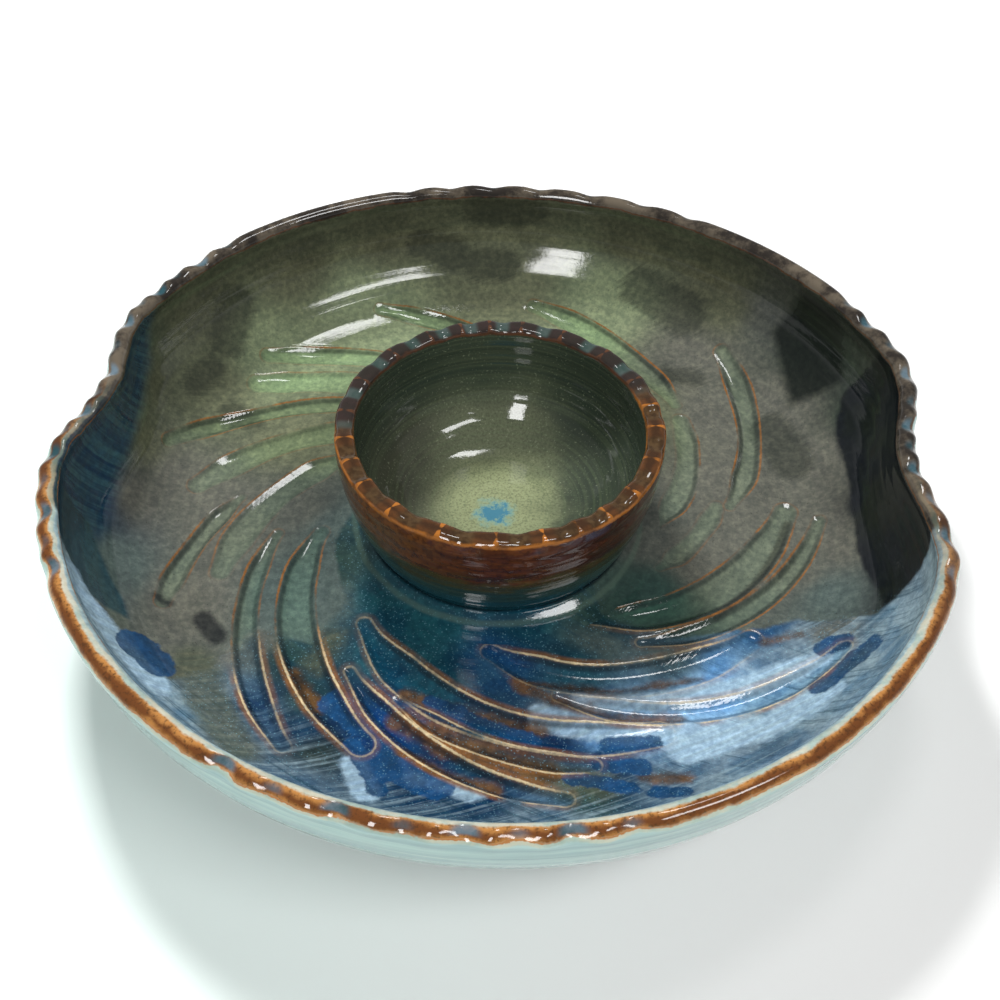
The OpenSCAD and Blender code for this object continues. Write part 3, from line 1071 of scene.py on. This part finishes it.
@dataclass
class JoinCollar:
    """The collar of clay smoothed round the dip bowl's foot, grooved by a finger."""

    steps: int = 240
    inner: float = 47.2

    def build(self) -> bpy.types.Object:
        """Model the collar inside its node's box."""
        low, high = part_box("join_collar")
        outer, base, top = high[0] / MM, low[2] / MM, high[2] / MM
        rise = top - base
        outline = [(self.inner, base + 0.2), (self.inner + 1.2, top)]
        for t in np.linspace(0.12, 1, 22):
            cove = rise * (1 - t) ** 1.9 + 0.35 * math.sin(9 * t) * (1 - t)
            outline.append((self.inner + 1.4 + (outer - self.inner - 1.4) * t, base + 0.05 + cove))
        piece = throw("collar_smoothed", outline, self.steps)
        points = points_of(piece)
        out = np.hypot(points[:, 0], points[:, 1])
        keep(piece, "out", out)
        for group in range(GROUPS):
            keep(piece, f"swipe_{group}", out * 0 + 99)
        InsideGlaze.map(piece, points[:, :2], out)
        return piece

    def dress(self, piece: bpy.types.Object) -> None:
        """Give the collar its teal glaze, a dark line of glaze and painted shade where the bowls meet, and a
        ring of painted highlight.
        """
        g = Graph("collar_glaze")
        cloud = g.noise(g.place, 60, 5)
        grain = g.noise(g.place, 900, 3)
        colour, height = InsideGlaze().mix(g, g.value("travel"), grain, cloud)
        out = g.plus(g.value("out"), g.sway(cloud, 2.5))
        # dark glaze in the join, deepened by painted shade
        colour = g.over(colour, Tone.NIGHT, out, 50.4, 48.6, 0.9)
        # a lighter ring of painted highlight round the collar
        band = g.off(out, 53.5)
        colour = g.over(colour, (0.09, 0.14, 0.1, 1), band, 1.6, 0.3, 0.35)
        rough = g.glazed_rough(cloud)
        piece.data.materials.append(g.finish(colour, rough, g.bump(height, 0.35, 0.0006), 0.5))


@dataclass
class FootRing:
    """The turned foot ring of bare clay under the bowl."""

    steps: int = 240
    width: float = 9.0

    def build(self) -> bpy.types.Object:
        """Model the ring inside its node's box, with worn corners and turning marks."""
        low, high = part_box("foot_ring")
        top, outer = high[2] / MM, high[0] / MM
        foot = outer - 1.5
        inner = foot - self.width
        outline = [
            (outer, top), (outer - 0.4, top - 1.9), (outer - 0.9, top - 4.2),
            (foot - 0.1, 1.0), (foot - 0.45, 0.35), (foot - 1.2, 0.0),
            (inner + 1.2, 0.0), (inner + 0.45, 0.35), (inner + 0.1, 1.0),
            (inner - 0.6, top - 3.0), (inner - 1.5, top), (outer, top),
        ]
        return throw("foot_turned", outline, self.steps)

    def dress(self, piece: bpy.types.Object) -> None:
        """Give the foot its toasted bare clay, with grog and turning lines."""
        g = Graph("bare_clay")
        grain = g.noise(g.place, 1200, 4)
        cloud = g.noise(g.place, 30, 4)
        lines = g.noise(g.mapped(g.place, (1, 1, 0.05)), 90, 3)
        colour = g.over(Tone.CLAY, (0.33, 0.2, 0.11, 1), cloud, 0.3, 0.7)
        colour = g.over(colour, (0.1, 0.06, 0.04, 1), grain, 0.62, 0.72, 0.7)
        height = g.plus(grain, g.times(lines, 0.8))
        rough = g.over((0.7, 0.7, 0.7, 1), (0.9, 0.9, 0.9, 1), grain, 0.3, 0.7)
        piece.data.materials.append(g.finish(colour, rough, g.bump(height, 0.5, 0.0004), 0.0))


# ---------------------------------------------------------------- the table, the light and the camera


@dataclass(frozen=True)
class SoftLight:
    """A soft panel of light: where it hangs, its size and power, and whether glaze mirrors it."""

    name: str
    azimuth: float
    elevation: float
    distance: float
    size: tuple[float, float]
    power: float
    shown: bool = True

    def hang(self, target: tuple[float, float, float]) -> None:
        """Hang the panel facing a target."""
        az, el = math.radians(self.azimuth), math.radians(self.elevation)
        place = [
            target[0] + self.distance * math.cos(el) * math.cos(az),
            target[1] + self.distance * math.cos(el) * math.sin(az),
            target[2] + self.distance * math.sin(el),
        ]
        data = bpy.data.lights.new(self.name, "AREA")
        data.shape = "RECTANGLE"
        data.size, data.size_y = self.size
        data.energy = self.power
        lamp = bpy.data.objects.new(self.name, data)
        bpy.context.collection.objects.link(lamp)
        lamp.visible_glossy = self.shown
        lamp.location = place
        lamp.rotation_euler = (math.pi / 2 - el, 0, az + math.pi / 2)


@dataclass
class Studio:
    """The pale floor, the soft light and the camera."""

    elevation: float = 46.4
    distance: float = 0.3917
    look_at: tuple[float, float, float] = (0.00066, -0.0383, 0.061)
    lens: float = 43.2
    roll: float = 1.73

    def floor(self) -> None:
        """Lay the pale floor, with painted mint light toward the left and front."""
        bpy.ops.object.select_all(action="DESELECT")
        bpy.ops.mesh.primitive_plane_add(size=8)
        floor = bpy.context.object
        floor.name = "pale_floor"
        g = Graph("pale_floor")
        split = g.nodes.new("ShaderNodeSeparateXYZ")
        g.put(split.inputs[0], g.place)
        side = g.plus(split.outputs[0], g.times(split.outputs[1], 0.6))
        # painted light: the mint toward the left and front stands in for tinted light falling there
        colour = g.over((0.8, 0.795, 0.79, 1), (0.7, 0.83, 0.79, 1), side, 0.0, -0.35)
        paper = g.noise(g.place, 400, 2)
        floor.data.materials.append(g.finish(colour, 0.9, g.bump(paper, 0.05, 0.0002), 0.0))

    def light(self) -> None:
        """Hang the soft panels and fill the room with pale light."""
        panels = (
            SoftLight("window_panel", -107, 42, 1.5, (0.26, 0.7), 10),
            SoftLight("side_panel", -38, 56, 1.4, (0.64, 0.24), 7),
            SoftLight("top_panel", 63, 68, 1.3, (0.28, 0.15), 2),
            SoftLight("fill_panel", 115, 50, 1.5, (0.25, 0.25), 24, shown=False),
        )
        for panel in panels:
            panel.hang((0.0, 0.0, 0.03))
        world = bpy.data.worlds.new("room")
        bpy.context.scene.world = world
        world.use_nodes = True
        nodes, links = world.node_tree.nodes, world.node_tree.links
        back = nodes["Background"]
        back.inputs[0].default_value = (0.98, 1.0, 0.997, 1)
        upward = nodes.new("ShaderNodeSeparateXYZ")
        links.new(nodes.new("ShaderNodeTexCoord").outputs["Generated"], upward.inputs[0])
        fade = nodes.new("ShaderNodeMapRange")
        for i, value in ((1, 0.0), (2, 0.3), (3, 0.7), (4, 0.16)):
            fade.inputs[i].default_value = value
        links.new(upward.outputs[2], fade.inputs[0])
        links.new(fade.outputs[0], back.inputs[1])

    def camera(self) -> None:
        """Set the camera at the viewing angle."""
        data = bpy.data.cameras.new("camera")
        data.lens = self.lens
        data.sensor_width = 36
        data.clip_start = 0.01
        camera = bpy.data.objects.new("camera", data)
        bpy.context.collection.objects.link(camera)
        el = math.radians(self.elevation)
        camera.location = (
            self.look_at[0],
            self.look_at[1] - self.distance * math.cos(el),
            self.look_at[2] + self.distance * math.sin(el),
        )
        camera.rotation_mode = "ZXY"
        camera.rotation_euler = (math.pi / 2 - el, 0, 0)
        rolled = camera.rotation_euler.to_matrix() @ Matrix.Rotation(math.radians(self.roll), 3, "Z")
        camera.rotation_mode = "XYZ"
        camera.rotation_euler = rolled.to_euler("XYZ")
        bpy.context.scene.camera = camera
        bpy.context.scene.view_settings.view_transform = "Standard"


def main() -> None:
    """Build the server and its table."""
    logging.basicConfig(level=logging.INFO, format="%(name)s: %(message)s")
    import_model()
    studio = Studio()
    studio.camera()
    studio.floor()
    studio.light()
    makers = (
        (ChipBowl(), "chip_bowl", "bowl_glaze"),
        (DipBowl(), "dip_bowl", "dip_glaze"),
        (JoinCollar(), "join_collar", "collar_glaze"),
        (FootRing(), "foot_ring", "bare_clay"),
    )
    for maker, node, slot in makers:
        piece = maker.build()
        maker.dress(piece)
        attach(piece, "root")
        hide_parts(node)
        log.info("%s: %d vertices for %s", piece.name, len(piece.data.vertices), node)


if __name__ == "__main__":
    main()
